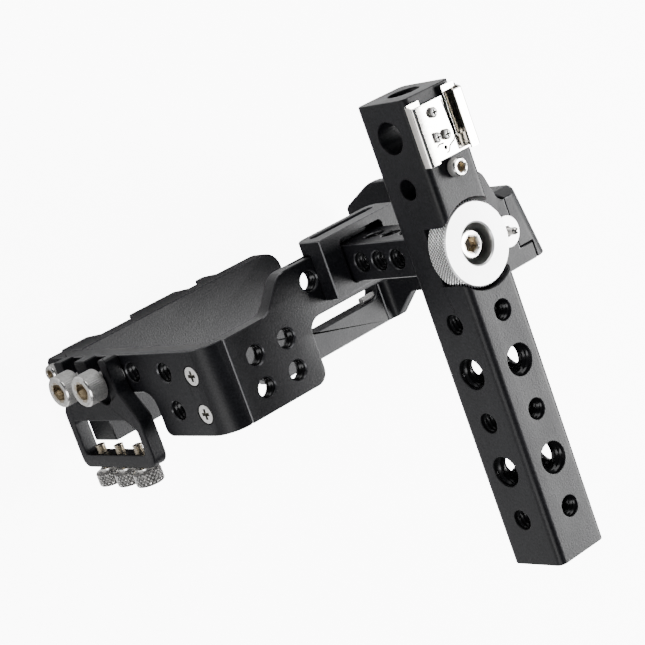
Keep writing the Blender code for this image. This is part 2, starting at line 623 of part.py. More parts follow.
def bottom_plate():
    left = LEFT_INNER + GAP
    seam = FOOT_SEAM - GAP / 2
    outline = [(left, BASE_REAR), (-5 * MM, BASE_REAR, 5 * MM), (6 * MM, BAR_REAR, 5 * MM), (seam, BAR_REAR)]
    outline += [(seam, -11.5 * MM), (58.2 * MM, -11.5 * MM), (58.2 * MM, BAR_FRONT, 4 * MM)]
    outline += [(24.5 * MM, BAR_FRONT, 3 * MM), (24.5 * MM, CAGE_FRONT, 6 * MM), (left, CAGE_FRONT)]
    plate = prism("bottom_plate", outline, "Z", BASE_BOTTOM, BASE_TOP)
    feet = bmesh.new()
    shoulder = BASE_BOTTOM + MM
    slope = 2 * MM
    for low, high in ((-31 * MM, -8 * MM), (-3.2 * MM, 4.2 * MM)):
        foot = [(low, shoulder), (low, BASE_BOTTOM), (low + slope, 0), (high - slope, 0)]
        add_prism(feet, [*foot, (high, BASE_BOTTOM), (high, shoulder)], "Y", BASE_REAR, CAGE_FRONT)
    foot = [(left, shoulder), (left, 0), (-44 * MM - slope, 0), (-44 * MM, BASE_BOTTOM), (-44 * MM, shoulder)]
    add_prism(feet, foot, "Y", BASE_REAR, CAGE_FRONT)
    foot = [(17.5 * MM, shoulder), (17.5 * MM, BASE_BOTTOM), (17.5 * MM + slope, 0), (24.5 * MM, 0)]
    add_prism(feet, [*foot, (24.5 * MM, shoulder)], "Y", BASE_REAR, 9 * MM)
    combine(plate, feet, "feet", "UNION")
    holes = bmesh.new()
    for spot in LEFT_BASE_SCREWS:
        add_rod(holes, "X", spot, M3 + SCREW_CLEARANCE, left - MM, left + 8 * MM, 12)
    for spot in RIGHT_BASE_SCREWS:
        add_rod(holes, "X", spot, M3 + SCREW_CLEARANCE, seam - 7 * MM, seam + MM, 12)
    profile = ((7.2 * MM, -MM), (7.2 * MM, 9 * MM), (3.6 * MM, 9 * MM), (3.6 * MM, BASE_TOP + MM))
    add_turned(holes, "Z", CAMERA_SCREW, profile, ROUND)
    combine(plate, holes, "screw_holes")


def camera_screw():
    profile = ((6.5 * MM, 0.6 * MM), (6.5 * MM, 3.4 * MM), (3.1 * MM, 3.4 * MM), (3.1 * MM, 10.9 * MM))
    profile += ((2.6 * MM, 11.4 * MM),)
    screw = turned("camera_screw", "Z", CAMERA_SCREW, profile)
    slot = bmesh.new()
    x, y = CAMERA_SCREW
    add_prism(slot, box_corners(x - 8 * MM, x + 8 * MM, y - 0.8 * MM, y + 0.8 * MM), "Z", 0, 2 * MM)
    combine(screw, slot, "coin_slot")


def lock_plunger():
    flange = PLATE_TOP + GAP
    profile = ((5.1 * MM, flange), (5.1 * MM, flange + 1.1 * MM), (1.6 * MM, flange + 1.1 * MM), (1.6 * MM, flange))
    turned("lock_flange", "Z", LOCK_CENTRE, profile, NICKEL, ring=True)
    tip = 86.9 * MM
    radius = 1.2 * MM
    profile = [(radius, 78.9 * MM)]
    profile += [(radius * math.cos(a), tip - radius + radius * math.sin(a)) for a in (0, 0.5, 1.0, 1.35)]
    turned("lock_pin", "Z", LOCK_CENTRE, profile, NICKEL, 16)


def cable_clamp():
    outline = [(-18.75, 8.3, 3), (-18.75, 46.8, 4), (-4, 46.8, 3), (5.5, 41, 3), (15.75, 40.5, 1)]
    outline += [(15.75, 12.5, 1), (5, 12.5, 2), (-1, 8.3, 3)]
    corners = [(y * MM, z * MM, radius * MM) for y, z, radius in outline]
    clamp = prism("cable_clamp", corners, "X", CLAMP_OUTER, CLAMP_INNER)
    window = bmesh.new()
    opening = [(-14.55, 11.5, 1.5), (-3.55, 11.5, 1.5), (-3.55, 39.5, 1.5), (-7, 43.3, 1.5), (-14.55, 43.3, 1.5)]
    corners = [(y * MM, z * MM, radius * MM) for y, z, radius in opening]
    add_prism(window, corners, "X", CLAMP_OUTER - MM, CLAMP_INNER + MM)
    half = M6 + SCREW_CLEARANCE
    for height in CLAMP_SCREW_Z:
        bottom = CLAMP_SLOT_END - half
        slot = [(bottom, height - half, half * 0.99), (18 * MM, height - half), (18 * MM, height + half)]
        slot += [(bottom, height + half, half * 0.99)]
        add_prism(window, slot, "X", CLAMP_OUTER - MM, CLAMP_INNER + MM)
    combine(clamp, window, "window_and_slots")
    bores = bmesh.new()
    middle = (CLAMP_OUTER + CLAMP_INNER) / 2
    for height in THUMBSCREW_Z:
        add_rod(bores, "Y", (middle, height), M3 + 0.2 * MM, -20 * MM, -14 * MM)
    combine(clamp, bores, "thumbscrew_bores")
    for number, height in enumerate(CLAMP_SCREW_Z, 1):
        under_head = CLAMP_OUTER - GAP
        spot = (CLAMP_SCREW_Y, height)
        cap_screw(f"clamp_screw_{number}", "X", spot, under_head, (5 * MM, 6.2 * MM), (M6, 10.4 * MM), 5 * MM, -1)
    for number, height in enumerate(THUMBSCREW_Z, 1):
        profile = ((4.2, -24.45), (4.45, -24.2), (4.45, -20.4), (4.2, -20.1), (2.6, -19.9), (2.6, -19.3))
        profile += ((1.5, -19.3), (1.5, -12.2), (1.2, -11.9))
        profile = [(radius * MM, along * MM) for radius, along in profile]
        turned(f"cable_thumbscrew_{number}", "Y", (middle, height), profile, STEEL, 24)


def pivot(name, place, pieces):
    """An empty on a joint's axis, which carries the pieces that the joint moves."""
    axis = bpy.data.objects.new(name, None)
    axis.location = place
    axis.empty_display_size = 5 * MM
    bpy.context.scene.collection.objects.link(axis)
    for piece in pieces:
        child = bpy.data.objects[piece]
        child.parent = axis
        child.matrix_parent_inverse = Matrix.Translation(-Vector(place))


def pivots():
    swivel = (0, WHEEL_Y, HANDLE_BOTTOM)
    shoe = ["cold_shoe", "shoe_leaf_spring", "shoe_stop_screw"]
    shoe += [f"shoe_screw_{number}" for number in range(1, len(SHOE_SCREWS) + 1)]
    pivot("handle_pivot", swivel, ["handle_bar", *shoe])
    pivot("wheel_pivot", swivel, ["thumb_wheel", "wheel_bolt", "wheel_washer"])
    riser = ["riser_arm", "rail_bracket", "riser_screw_1", "riser_screw_2"]
    pivot("riser_pivot", (0, WHEEL_Y, PLATE_TOP), riser)
    pivot("camera_screw_pivot", (*CAMERA_SCREW, 0), ["camera_screw"])
    pivot("lock_pin_pivot", (*LOCK_CENTRE, PLATE_TOP), ["lock_pin"])
    middle = (CLAMP_OUTER + CLAMP_INNER) / 2
    pivot("clamp_pivot", (middle, CLAMP_SCREW_Y, CLAMP_SCREW_Z[0]), ["cable_clamp"])
    for number, height in enumerate(THUMBSCREW_Z, 1):
        pivot(f"thumbscrew_pivot_{number}", (middle, 0, height), [f"cable_thumbscrew_{number}"])


def build():
    clear_scene()
    handle_bar()
    cold_shoe()
    wheel_and_bolt()
    riser_arm()
    rail_bracket()
    riser_screws()
    top_plate()
    left_side_plate()
    right_side_plate()
    bottom_plate()
    camera_screw()
    lock_plunger()
    cable_clamp()
    pivots()


build()
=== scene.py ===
"""The looks of the camera cage: chamfered black plates, cut threads, knurled screws and a folded
cold shoe, on a pale floor under soft light. Lengths are in metres."""

import math

import bmesh
import bpy
from mathutils import Matrix, Vector


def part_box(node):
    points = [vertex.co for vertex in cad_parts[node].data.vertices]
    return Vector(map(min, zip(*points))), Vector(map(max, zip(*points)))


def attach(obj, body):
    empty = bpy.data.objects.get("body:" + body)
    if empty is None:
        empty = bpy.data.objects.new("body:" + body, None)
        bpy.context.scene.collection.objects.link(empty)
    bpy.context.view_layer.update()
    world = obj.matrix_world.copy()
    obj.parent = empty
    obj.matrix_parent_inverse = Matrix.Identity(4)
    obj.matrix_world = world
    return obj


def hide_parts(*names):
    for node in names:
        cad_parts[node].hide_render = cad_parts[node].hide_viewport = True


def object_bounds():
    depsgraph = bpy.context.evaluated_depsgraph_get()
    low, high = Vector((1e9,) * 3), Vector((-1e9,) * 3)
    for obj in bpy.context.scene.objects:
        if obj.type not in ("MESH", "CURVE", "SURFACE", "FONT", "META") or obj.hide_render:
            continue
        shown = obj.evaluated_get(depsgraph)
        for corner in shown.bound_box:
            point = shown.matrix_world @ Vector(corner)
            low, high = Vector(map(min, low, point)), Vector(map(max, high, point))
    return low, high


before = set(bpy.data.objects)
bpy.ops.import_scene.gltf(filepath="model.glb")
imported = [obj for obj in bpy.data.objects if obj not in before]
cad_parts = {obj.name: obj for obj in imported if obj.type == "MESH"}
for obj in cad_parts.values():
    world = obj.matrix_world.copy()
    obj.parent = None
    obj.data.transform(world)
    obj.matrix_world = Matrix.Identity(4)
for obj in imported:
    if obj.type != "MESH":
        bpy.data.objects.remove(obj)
cad_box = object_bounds()

MM = 0.001
AXES = {"X": Vector((1, 0, 0)), "Y": Vector((0, 1, 0)), "Z": Vector((0, 0, 1))}

# Standard threads, as pitch, and the radii of the plain bores that the solids have for them.
QUARTER_PITCH = 1.27 * MM
THREE_EIGHTHS_PITCH = 1.5875 * MM
QUARTER_BORE = 3.05 * MM
THREE_EIGHTHS_BORE = 4.6 * MM
THREAD_START = 0.45 * MM  # below the face, under the mouth's chamfer

THREAD_STEPS = 6  # rows of faces to each turn of a thread

# The handle's hole pattern, from its front end.
HOLE_PITCH = 15.0 * MM
FIRST_GRIP_HOLE = 65.0 * MM
GRIP_HOLES = 5
HOLE_CLEARANCE = 0.3 * MM  # between a thread's end and the bore that crosses it
FRONT_HOLE_THREAD = 5.0 * MM

# The tapped holes of the plates and of the riser: where they are, and how deep the thread ends.
TOP_PLATE_HOLES = [(x * MM, y * MM) for x in (-45.4, -33.3) for y in (6.45, -3.55)]
TOP_PLATE_HOLES += [(-18.9 * MM, 18.05 * MM)]
TOP_PLATE_THREAD = 5.0 * MM
LEFT_PLATE_HOLES = ((9.15 * MM, 60.1 * MM), (-2.75 * MM, 60.1 * MM), (9.55 * MM, 44.2 * MM))
LEFT_PLATE_THREAD = 6.0 * MM
ARM_HOLE_HEIGHTS = (92.7 * MM, 100.4 * MM, 108.3 * MM)
ARM_SIDE_THREAD = 4.2 * MM
ARM_FRONT_THREAD = 2.5 * MM

# Chamfers.
SAME_POINT = 2e-6
SHARP_EDGE = math.radians(28)
PLATE_CHAMFER = 0.3 * MM
CLAMP_CHAMFER = 0.5 * MM


# Materials


def nodes_of(name):
    made = bpy.data.materials.new(name)
    made.use_nodes = True
    return made, made.node_tree, made.node_tree.nodes["Principled BSDF"]


def noise(tree, scale, detail=3.0, roughness=0.6):
    place = tree.nodes.new("ShaderNodeTexCoord")
    made = tree.nodes.new("ShaderNodeTexNoise")
    made.inputs["Scale"].default_value = scale
    made.inputs["Detail"].default_value = detail
    made.inputs["Roughness"].default_value = roughness
    tree.links.new(place.outputs["Object"], made.inputs["Vector"])
    return made.outputs["Fac"]


def ramp(tree, value, low, high, low_colour, high_colour):
    made = tree.nodes.new("ShaderNodeValToRGB")
    made.color_ramp.elements[0].position = low
    made.color_ramp.elements[0].color = (*low_colour, 1)
    made.color_ramp.elements[1].position = high
    made.color_ramp.elements[1].color = (*high_colour, 1)
    tree.links.new(value, made.inputs["Fac"])
    return made.outputs["Color"]


def spread(tree, value, low, high):
    """A number between low and high that follows a 0 to 1 value."""
    made = tree.nodes.new("ShaderNodeMapRange")
    made.inputs["From Min"].default_value = 0.3
    made.inputs["From Max"].default_value = 0.7
    made.inputs["To Min"].default_value = low
    made.inputs["To Max"].default_value = high
    tree.links.new(value, made.inputs["Value"])
    return made.outputs["Result"]


def bump(tree, shader, value, height):
    made = tree.nodes.new("ShaderNodeBump")
    made.inputs["Strength"].default_value = 1.0
    made.inputs["Distance"].default_value = height
    tree.links.new(value, made.inputs["Height"])
    tree.links.new(made.outputs["Normal"], shader.inputs["Normal"])


def blasted(name, dark, light, smooth, rough, metallic, grain=0.012 * MM, grain_scale=3200.0):
    """Bead-blasted metal: a fine grain in colour, gloss and height, over slow cloudy variation."""
    made, tree, shader = nodes_of(name)
    fine = noise(tree, grain_scale, 2.0)
    cloudy = noise(tree, 45.0, 4.0)
    mixed = tree.nodes.new("ShaderNodeMath")
    mixed.operation = "MULTIPLY_ADD"
    mixed.inputs[1].default_value = 0.35
    tree.links.new(cloudy, mixed.inputs[0])
    part = tree.nodes.new("ShaderNodeMath")
    part.operation = "MULTIPLY"
    part.inputs[1].default_value = 0.65
    tree.links.new(fine, part.inputs[0])
    tree.links.new(part.outputs[0], mixed.inputs[2])
    tree.links.new(ramp(tree, mixed.outputs[0], 0.32, 0.68, dark, light), shader.inputs["Base Color"])
    tree.links.new(spread(tree, cloudy, smooth, rough), shader.inputs["Roughness"])
    shader.inputs["Metallic"].default_value = metallic
    bump(tree, shader, fine, grain)
    return made


def brushed(name, dark, light, smooth, rough, stretch=(1, 1, 1), scale=900.0):
    """Machined or plated metal: faint tool lines, stretched along the axes given, and soft stains."""
    made, tree, shader = nodes_of(name)
    place = tree.nodes.new("ShaderNodeTexCoord")
    turned = tree.nodes.new("ShaderNodeMapping")
    turned.inputs["Scale"].default_value = stretch
    tree.links.new(place.outputs["Object"], turned.inputs["Vector"])
    lines = tree.nodes.new("ShaderNodeTexNoise")
    lines.inputs["Scale"].default_value = scale
    lines.inputs["Detail"].default_value = 4.0
    tree.links.new(turned.outputs["Vector"], lines.inputs["Vector"])
    tree.links.new(ramp(tree, noise(tree, 120.0), 0.3, 0.7, dark, light), shader.inputs["Base Color"])
    tree.links.new(spread(tree, lines.outputs["Fac"], smooth, rough), shader.inputs["Roughness"])
    shader.inputs["Metallic"].default_value = 1.0
    bump(tree, shader, lines.outputs["Fac"], 0.001 * MM)
    return made


def grey(value):
    return (value, value, value)


def make_finishes():
    deep, dim = (0.002, 0.002, 0.0026), (0.014, 0.014, 0.017)
    black = blasted("black_blasted", deep, dim, 0.34, 0.44, 0.0, 0.05 * MM, 1800.0)
    # The chamfer black is lighter than the plates' black: a painted highlight that shows the edges as thin
    # bright lines.
    deep, dim = (0.030, 0.030, 0.033), (0.055, 0.055, 0.060)
    edge = blasted("black_chamfer_painted_highlight", deep, dim, 0.20, 0.30, 0.3, 0.004 * MM)
    deep, dim = (0.006, 0.006, 0.007), (0.012, 0.012, 0.013)
    thread = blasted("black_thread", deep, dim, 0.20, 0.28, 0.3, 0.003 * MM)
    for made, level in ((black, 0.22), (edge, 0.5), (thread, 0.4)):
        made.node_tree.nodes["Principled BSDF"].inputs["Specular IOR Level"].default_value = level
    return {
        "black": black,
        "edge": edge,
        "thread": thread,
        "steel": brushed("bright_steel", (0.62, 0.61, 0.59), (0.80, 0.79, 0.77), 0.18, 0.30),
        "side": blasted(
            "turned_steel", (0.34, 0.34, 0.33), (0.52, 0.51, 0.50), 0.42, 0.55, 0.7, 0.02 * MM, 1600.0
        ),
        "screw_face": blasted(
            "screw_face", (0.72, 0.71, 0.69), (0.86, 0.85, 0.83), 0.3, 0.4, 0.5, 0.004 * MM
        ),
        "socket": brushed("socket_metal", (0.40, 0.35, 0.27), (0.62, 0.56, 0.46), 0.25, 0.4),
        # Painted shade: the dark olive of the cross recesses stands for the shadow inside them.
        "cross_recess_painted_shade": blasted(
            "cross_recess_painted_shade", (0.10, 0.095, 0.08), (0.22, 0.21, 0.18), 0.35, 0.5, 0.7, 0.004 * MM
        ),
        "black_steel": brushed("blackened_steel", grey(0.03), grey(0.06), 0.3, 0.45),
        "nickel": brushed(
            "polished_nickel", (0.80, 0.77, 0.72), (0.90, 0.88, 0.84), 0.06, 0.12, (1, 6, 1), 400.0
        ),
        "wheel": blasted("wheel_metal", grey(0.95), grey(1.0), 0.26, 0.34, 0.5, 0.006 * MM),
        # Turned metal for the wheel's recess; its grey, darker than the wheel, is painted shade.
        "recess": brushed("turned_recess_painted_shade", (0.50, 0.50, 0.49), (0.66, 0.66, 0.65), 0.28, 0.4),
        "knurl": blasted(
            "knurled_metal", (0.66, 0.65, 0.63), (0.84, 0.83, 0.81), 0.22, 0.34, 0.8, 0.004 * MM
        ),
        # Painted shade: the dark grey of the knurls' valleys and of the cross screws' head rims.
        "painted_shade_grey": blasted("knurl_painted_shade", grey(0.10), (0.20, 0.19, 0.18), 0.35, 0.50, 0.6, 0.004 * MM),
    }


finishes = make_finishes()


# Shapes


def shown(name, mesh, body, slot, *looks, replaces=(), smooth_angle=35, weighted=False):
    """Puts a bmesh in the scene as a piece that rides on a body and stands for CAD nodes."""
    data = bpy.data.meshes.new(name)
    mesh.to_mesh(data)
    mesh.free()
    for look in looks:
        data.materials.append(finishes[look])
    data.shade_smooth()
    data.set_sharp_from_angle(angle=math.radians(smooth_angle))
    piece = bpy.data.objects.new(name, data)
    bpy.context.scene.collection.objects.link(piece)
    if weighted:
        normals = piece.modifiers.new("flat_faces", "WEIGHTED_NORMAL")
        normals.keep_sharp = True
        normals.weight = 100
    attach(piece, body)
    if replaces:
        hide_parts(*replaces)
    return piece


def edge_angle(edge):
    return edge.calc_face_angle(0) if len(edge.link_faces) == 2 else 0


def in_any_box(point, nodes, margin):
    """Whether a point lies in one of the nodes' boxes, made larger by a margin."""
    for node in nodes:
        low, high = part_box(node)
        if all(low[axis] - margin < point[axis] < high[axis] + margin for axis in range(3)):
            return True
    return False


def chamfered(node, body, slot, look, width, segments=1, edge_look="edge", clamp=False, spare=()):
    """A CAD node's own shape with its sharp edges chamfered, or rounded in several segments.
    The edges round the screws named in spare are left alone."""
    mesh = bmesh.new()
    mesh.from_mesh(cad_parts[node].data)
    bmesh.ops.remove_doubles(mesh, verts=mesh.verts, dist=SAME_POINT)
    sharp = []
    for edge in mesh.edges:
        middle = (edge.verts[0].co + edge.verts[1].co) / 2
        if edge_angle(edge) > SHARP_EDGE and not in_any_box(middle, spare, 0.8 * MM):
            sharp.append(edge)
    # The chamfer faces take edge_look; the default, the lighter chamfer black, is a painted highlight.
    bmesh.ops.bevel(
        mesh,
        geom=sharp,
        offset=width,
        offset_type="OFFSET",
        segments=segments,
        profile=0.5,
        affect="EDGES",
        clamp_overlap=clamp,
        loop_slide=True,
        material=1,
    )
    bmesh.ops.remove_doubles(mesh, verts=mesh.verts, dist=0.04 * MM)
    bmesh.ops.dissolve_degenerate(mesh, edges=mesh.edges, dist=0.03 * MM)
    shading = {"smooth_angle": 24, "weighted": True}
    return shown(f"{node}_finished", mesh, body, slot, look, edge_look, replaces=[node], **shading)


def standing(axis, toward, centre, start):
    """The matrix that lays a turned shape along an axis. centre holds the other two coordinates, in order."""
    direction = AXES[axis] * toward
    others = [letter for letter in "XYZ" if letter != axis]
    place = AXES[axis] * start + AXES[others[0]] * centre[0] + AXES[others[1]] * centre[1]
    return Matrix.Translation(place) @ direction.to_track_quat("Z", "Y").to_matrix().to_4x4()


def add_lathe(mesh, where, rows, sides, ring=False):
    """A turned shape from (radius, height) rows, with flat ends, or with its last row joined to its
    first as a ring. A radius may be a function of the angle and the height, which makes knurls,
    threads, hexagon sockets and cross recesses."""
    rings = []
    for radius, height in rows:
        made = []
        for side in range(sides):
            angle = 2 * math.pi * side / sides
            reach = radius(angle, height) if callable(radius) else radius
            place = Vector((reach * math.cos(angle), reach * math.sin(angle), height))
            made.append(mesh.verts.new(where @ place))
        rings.append(made)
    following = rings[1:] + rings[:1] if ring else rings[1:]
    for low, high in zip(rings, following):
        for side in range(sides):
            after = (side + 1) % sides
            mesh.faces.new((low[side], low[after], high[after], high[side]))
    if not ring:
        mesh.faces.new(list(reversed(rings[0])))
        mesh.faces.new(rings[-1])


def wave(value):
    """A triangular wave from 0 to 1 and back, with a period of 1."""
    return 1 - abs(2 * (value % 1) - 1)


def helix(radius, depth, pitch, low, high):
    """The radius of a thread, which fades in and out over one pitch at each end."""

    def at(angle, height):
        fade = min(1, max(0, (height - low) / pitch), max(0, (high - height) / pitch))
        return radius - depth * fade * wave(height / pitch - angle / (2 * math.pi))

    return at


def thread_rows(radius, depth, pitch, low, high):
    count = max(THREAD_STEPS, math.ceil((high - low) / pitch * THREAD_STEPS))
    heights = [low + (high - low) * step / count for step in range(count + 1)]
    cut = helix(radius, depth, pitch, low, high)
    return [(cut, height) for height in heights]


def add_inner_thread(mesh, where, bore, pitch, low, high, sides=40):
    """The ridges of a tapped hole, as a sleeve set into the bore's wall."""
    rows = thread_rows(bore, 0.5 * pitch, pitch, low, high)
    wall = bore + 0.15 * MM
    add_lathe(mesh, where, [(wall, low), *rows, (wall, high)], sides, ring=True)


def shade_where(mesh, where, look, test):
    """Gives the faces of a turned shape that pass a test on (radius, height) their own material."""
    back = where.inverted()
    for face in mesh.faces:
        place = back @ face.calc_center_median()
        if test(math.hypot(place.x, place.y), place.z):
            face.material_index = look


def diamonds(radius, depth, count, low):
    """The radius of a diamond knurl with count diamonds round it."""
    tall = 2 * math.pi * radius / count

    def at(angle, height):
        turn = count * angle / (2 * math.pi)
        rise = (height - low) / tall
        crest = min(wave(turn + rise), wave(turn - rise))
        return radius - depth * (1 - min(1, 1.5 * crest))

    return at


def ridges(radius, depth, count):
    """The radius of a straight knurl."""
    return lambda angle, height: radius - depth * (1 - min(1, 1.5 * wave(count * angle / (2 * math.pi))))


def hexagon(across_flats):
    def at(angle, height):
        return across_flats / 2 / math.cos((angle + math.pi / 6) % (math.pi / 3) - math.pi / 6)

    return at


def cross(reach, half_width):
    """The outline of a cross recess."""

    def at(angle, height):
        turn = (angle + math.pi / 4) % (math.pi / 2) - math.pi / 4
        across = abs(math.sin(turn))
        return min(reach / math.cos(turn), half_width / across) if across > 1e-6 else reach

    return at


def placed_on(node, axis, toward):
    """A turned CAD node's (centre across the axis, its end that toward points to, radius, length)."""
    low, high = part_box(node)
    along = "XYZ".index(axis)
    others = [index for index in range(3) if index != along]
    centre = [(low[index] + high[index]) / 2 for index in others]
    end = high[along] if toward > 0 else low[along]
    radius = (high[others[0]] - low[others[0]]) / 2
    return centre, end, radius, high[along] - low[along]


def cap_screw(
    node, body, slot, axis, toward, head, socket, shank, pitch, look="steel", side_look="side", teeth=36
):
    """A socket head screw with a knurled head, a hexagon socket and a cut thread."""
    centre, end, radius, length = placed_on(node, axis, toward)
    mesh = bmesh.new()
    where = standing(axis, toward, centre, end - toward * length)
    top = length
    under = top - head
    edge = 0.35 * MM
    knurled = ridges(radius, 0.09 * MM, teeth)
    rows = thread_rows(shank, 0.5 * pitch, pitch, 0, under - 0.2 * MM)
    rows += [(shank, under), (radius - edge, under), (knurled, under + edge), (knurled, top - 2.2 * edge)]
    rows += [(radius - 0.15 * MM, top - 1.6 * edge), (radius - 0.15 * MM, top - edge)]
    rows += [(radius - 0.15 * MM - edge, top), (socket * 0.66, top), (hexagon(socket), top - 0.2 * MM)]
    rows += [(hexagon(socket), top - head * 0.55), (socket * 0.2, top - head * 0.7)]
    add_lathe(mesh, where, rows, 192)
    shade_where(mesh, where, 1, lambda r, h: h < top - 1.8 * edge)
    shade_where(mesh, where, 2, lambda r, h: r < socket * 0.6 and h > under)
    looks = (look, side_look, "socket")
    return shown(f"{node}_finished", mesh, body, slot, *looks, replaces=[node], smooth_angle=30)


def cross_screw(node, body, slot, axis, toward, domed=0.0):
    """A cross head screw, countersunk or with a low domed head."""
    centre, end, radius, length = placed_on(node, axis, toward)
    mesh = bmesh.new()
    where = standing(axis, toward, centre, end - toward * length)
    shank = radius * 0.5
    top = length
    cone = top - (radius - shank) if not domed else top - domed
    rows = thread_rows(shank, 0.25 * MM, 0.5 * MM, 0, cone - 0.1 * MM)
    if domed:
        rows += [(shank, cone), (radius, cone), (radius, top - domed * 0.55)]
        rows += [(radius * 0.86, top - domed * 0.2)]
    else:
        rows += [(shank, cone), (radius, top - 0.25 * MM), (radius - 0.12 * MM, top - 0.05 * MM)]
    reach = radius * 0.56
    mouth = cross(reach, radius * 0.17)
    rows += [(reach * 1.12, top), (mouth, top - 0.03 * MM)]
    rows += [(cross(reach * 0.8, radius * 0.15), top - radius * 0.3)]
    rows += [(radius * 0.16, top - radius * 0.45), (radius * 0.08, top - radius * 0.5)]
    add_lathe(mesh, where, rows, 144)
    # Painted shade: the cross recess and the rim of the head are made dark.
    shade_where(mesh, where, 1, lambda r, h: r < reach and top - 0.9 * radius < h < top - 0.02 * MM)
    shade_where(mesh, where, 2, lambda r, h: r > radius * 0.9)
    looks = ("screw_face", "cross_recess_painted_shade", "painted_shade_grey")
    return shown(f"{node}_finished", mesh, body, slot, *looks, replaces=[node], smooth_angle=30)


# The pieces


def black_plates():
    look = ("black_anodised", "black")
    for node in ("top_plate", "right_side_plate", "bottom_plate"):
        chamfered(node, "cage", *look, PLATE_CHAMFER)
    for node in ("riser_arm", "rail_bracket"):
        chamfered(node, "riser", *look, PLATE_CHAMFER)
    screws_through = [f"left_top_screw_{number}" for number in (1, 2)]
    chamfered("left_side_plate", "cage", *look, PLATE_CHAMFER, spare=screws_through)
    chamfered("handle_bar", "handle", *look, PLATE_CHAMFER, 2, "black")
    chamfered("cable_clamp", "cable_clamp", *look, CLAMP_CHAMFER, 2, "black")


def handle_threads():
    low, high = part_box("handle_bar")
    middle = (low.z + high.z) / 2
    mesh = bmesh.new()
    for station in range(GRIP_HOLES):
        large = station % 2 == 1
        place = high.y - FIRST_GRIP_HOLE - station * HOLE_PITCH
        bore = THREE_EIGHTHS_BORE if large else QUARTER_BORE
        pitch = THREE_EIGHTHS_PITCH if large else QUARTER_PITCH
        depth = (high.z - low.z) / 2 - bore - HOLE_CLEARANCE
        for toward, face in ((1, high.z), (-1, low.z)):
            where = standing("Z", -toward, (0, place), face)
            add_inner_thread(mesh, where, bore, pitch, THREAD_START, depth)
        depth = (high.x - low.x) / 2 - bore - HOLE_CLEARANCE
        for toward, face in ((1, low.x), (-1, high.x)):
            where = standing("X", toward, (place, middle), face)
            add_inner_thread(mesh, where, bore, pitch, THREAD_START, depth)
    where = standing("Y", -1, (0, middle), high.y)
    bore, pitch = THREE_EIGHTHS_BORE, THREE_EIGHTHS_PITCH
    add_inner_thread(mesh, where, bore, pitch, THREAD_START, FRONT_HOLE_THREAD)
    shown("handle_threads", mesh, "handle", "black_anodised", "thread")


def top_plate_threads():
    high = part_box("top_plate")[1]
    deep = TOP_PLATE_THREAD - THREAD_START
    mesh = bmesh.new()
    for place in TOP_PLATE_HOLES:
        where = standing("Z", -1, place, high.z)
        add_inner_thread(mesh, where, QUARTER_BORE, QUARTER_PITCH, THREAD_START, deep)
    shown("top_plate_threads", mesh, "cage", "black_anodised", "thread")


def left_plate_threads():
    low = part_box("left_side_plate")[0]
    deep = LEFT_PLATE_THREAD - THREAD_START
    mesh = bmesh.new()
    for place in LEFT_PLATE_HOLES:
        where = standing("X", 1, place, low.x)
        add_inner_thread(mesh, where, QUARTER_BORE, QUARTER_PITCH, THREAD_START, deep)
    shown("left_plate_threads", mesh, "cage", "black_anodised", "thread")


def arm_threads():
    low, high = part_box("riser_arm")
    across = (low.y + high.y) / 2
    mesh = bmesh.new()
    for height in ARM_HOLE_HEIGHTS:
        for toward, face in ((1, low.x), (-1, high.x)):
            where = standing("X", toward, (across, height), face)
            add_inner_thread(mesh, where, QUARTER_BORE, QUARTER_PITCH, THREAD_START, ARM_SIDE_THREAD)
        for toward, face in ((1, low.y), (-1, high.y)):
            where = standing("Y", toward, (0, height), face)
            add_inner_thread(mesh, where, QUARTER_BORE, QUARTER_PITCH, THREAD_START, ARM_FRONT_THREAD)
    shown("riser_arm_threads", mesh, "riser", "black_anodised", "thread")


def thumb_wheel():
    low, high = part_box("thumb_wheel")
    radius = (high.x - low.x) / 2
    centre = ((low.x + high.x) / 2, (low.y + high.y) / 2)
    where = standing("Z", 1, centre, low.z)
    top = high.z - low.z
    rim = top - 7.1 * MM
    recess = 5.85 * MM
    floor = 2.8 * MM
    hub = 8.0 * MM
    bore = 2.85 * MM
    edge = 0.45 * MM
    depth = 0.36 * MM
    around = 72
    knurl = diamonds(radius, depth, around, rim)
    steps = 44
    rows = [(bore, 0), (hub - edge, 0), (hub, edge), (hub, rim), (radius - edge, rim)]
    rows += [(knurl, rim + edge + (top - rim - 2 * edge) * step / steps) for step in range(steps + 1)]
    rows += [(radius - edge - 0.1 * MM, top), (recess + edge, top), (recess, top - edge), (recess, floor)]
    rows += [(bore + 0.2 * MM, floor), (bore, floor - 0.2 * MM)]
    mesh = bmesh.new()
    add_lathe(mesh, where, rows, 6 * around, ring=True)
    # Painted shade: the valleys of the knurl are made dark grey.
    shade_where(mesh, where, 1, lambda r, h: radius - depth < r < radius - 0.5 * depth and h < top - edge)
    # Painted shade, on turned metal: the recess is made darker than the wheel.
    shade_where(mesh, where, 2, lambda r, h: r < recess + 0.01 * MM)
    looks = ("wheel", "painted_shade_grey", "recess")
    shading = {"replaces": ["thumb_wheel"], "smooth_angle": 30}
    shown("thumb_wheel_finished", mesh, "wheel", "wheel_silver", *looks, **shading)


